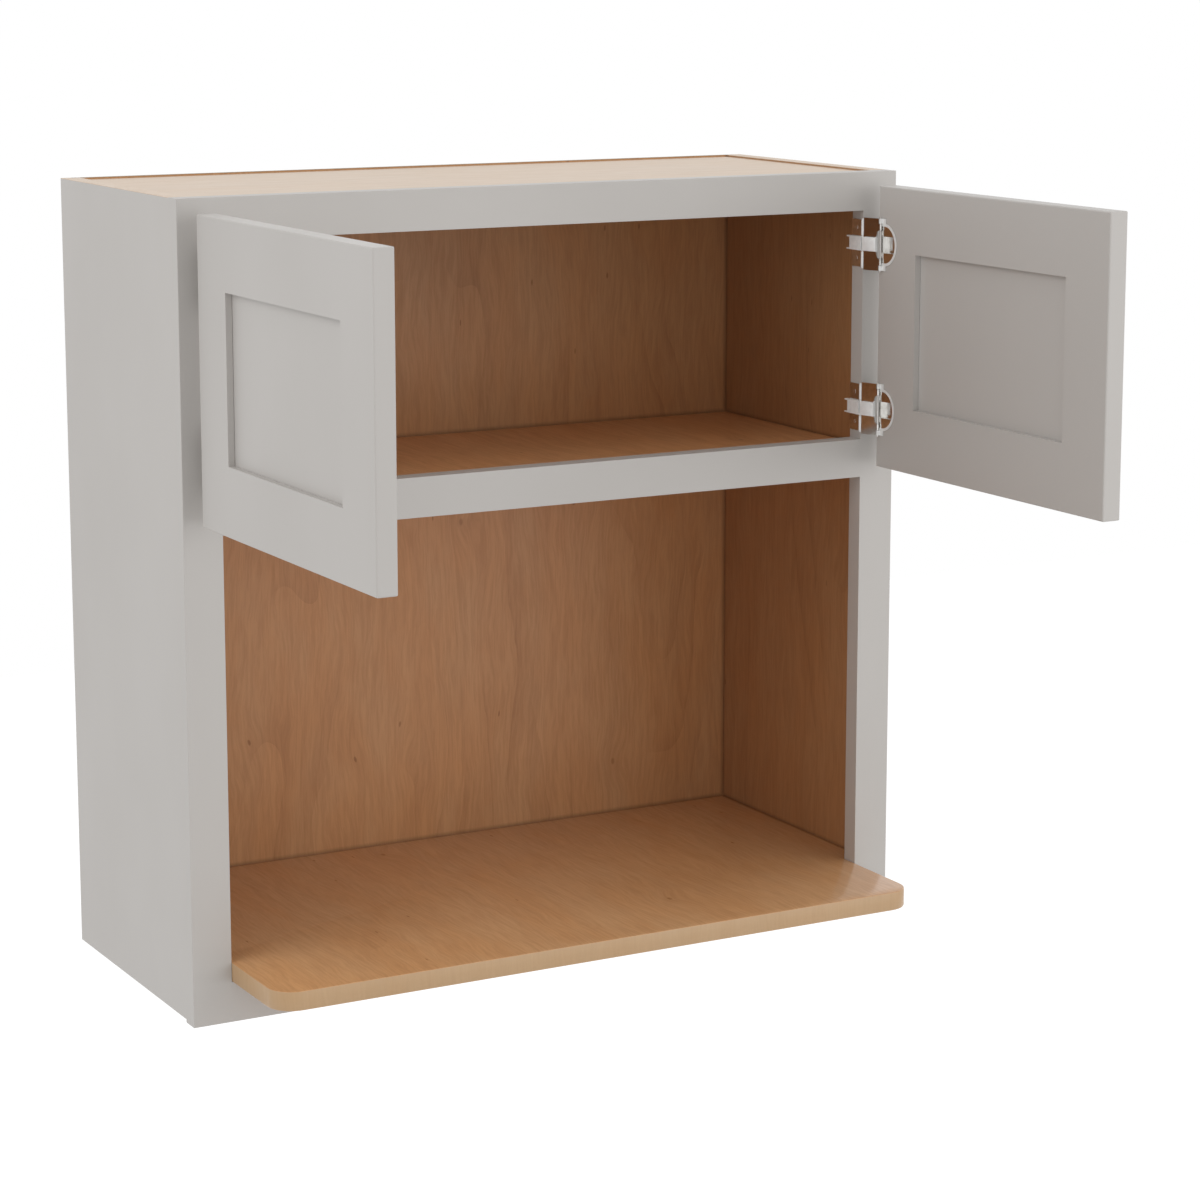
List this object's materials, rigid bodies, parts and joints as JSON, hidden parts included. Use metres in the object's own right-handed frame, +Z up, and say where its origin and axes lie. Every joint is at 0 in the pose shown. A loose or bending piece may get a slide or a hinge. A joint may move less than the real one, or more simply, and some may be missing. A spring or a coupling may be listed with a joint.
{
  "type": "microwave wall cabinet",
  "caption": "Kitchen wall cabinet with a face frame, framed doors on wing hinges over an open microwave niche, and a deep shelf that reaches out past the frame.",
  "frame": {"origin": "middle of the back panel's rear face, on the wall", "axes": "+X to the viewer's right, +Y into the wall, +Z up; the doors and the shelf face -Y"},
  "size_m": [0.762, 0.6848, 0.762],
  "materials": {
    "paint": "satin warm grey paint on wood",
    "maple": "clear satin maple veneer",
    "raw_panel": "plain unfinished plywood",
    "chrome": "bright nickel plate"
  },
  "bodies": {
    "cabinet": {"left_side": "paint", "right_side": "paint", "back_panel": "maple", "top_panel": "raw_panel", "upper_deck": "maple", "microwave_shelf": "maple", "frame_left_stile": "paint", "frame_right_stile": "paint", "frame_top_rail": "paint", "frame_middle_rail": "paint", "frame_bottom_rail": "paint", "left_upper_hinge_leaf": "chrome", "left_upper_hinge_frame_pin": "chrome", "left_lower_hinge_leaf": "chrome", "left_lower_hinge_frame_pin": "chrome", "right_upper_hinge_leaf": "chrome", "right_upper_hinge_frame_pin": "chrome", "right_lower_hinge_leaf": "chrome", "right_lower_hinge_frame_pin": "chrome"},
    "left_links": {"left_upper_hinge_link": "chrome", "left_lower_hinge_link": "chrome"},
    "right_links": {"right_upper_hinge_link": "chrome", "right_lower_hinge_link": "chrome"},
    "left_door": {"left_door_hinge_stile": "paint", "left_door_meeting_stile": "paint", "left_door_top_rail": "paint", "left_door_bottom_rail": "paint", "left_door_panel": "paint", "left_upper_hinge_cup": "chrome", "left_upper_hinge_door_pin": "chrome", "left_lower_hinge_cup": "chrome", "left_lower_hinge_door_pin": "chrome"},
    "right_door": {"right_door_hinge_stile": "paint", "right_door_meeting_stile": "paint", "right_door_top_rail": "paint", "right_door_bottom_rail": "paint", "right_door_panel": "paint", "right_upper_hinge_cup": "chrome", "right_upper_hinge_door_pin": "chrome", "right_lower_hinge_cup": "chrome", "right_lower_hinge_door_pin": "chrome"}
  },
  "joints": [
    {"name": "left_link_pivot", "type": "hinge", "parent": "cabinet", "child": "left_links", "pos_m": [-0.3411, -0.3017, 0.2286], "axis": [0, 0, 1], "range_deg": [-73.5, 13]},
    {"name": "left_door_pivot", "type": "hinge", "parent": "left_links", "child": "left_door", "pos_m": [-0.34785, -0.3229, 0.2286], "axis": [0, 0, 1], "range_deg": [-27.05, 162.33]},
    {"name": "right_link_pivot", "type": "hinge", "parent": "cabinet", "child": "right_links", "pos_m": [0.3411, -0.3017, 0.2286], "axis": [0, 0, -1], "range_deg": [-73.5, 13]},
    {"name": "right_door_pivot", "type": "hinge", "parent": "right_links", "child": "right_door", "pos_m": [0.34785, -0.3229, 0.2286], "axis": [0, 0, -1], "range_deg": [-27.05, 162.33]}
  ],
  "couplings": [
    {"joint": "left_link_pivot", "follows": "left_door_pivot", "ratio": -0.4456},
    {"joint": "right_link_pivot", "follows": "right_door_pivot", "ratio": -0.4456}
  ]
}
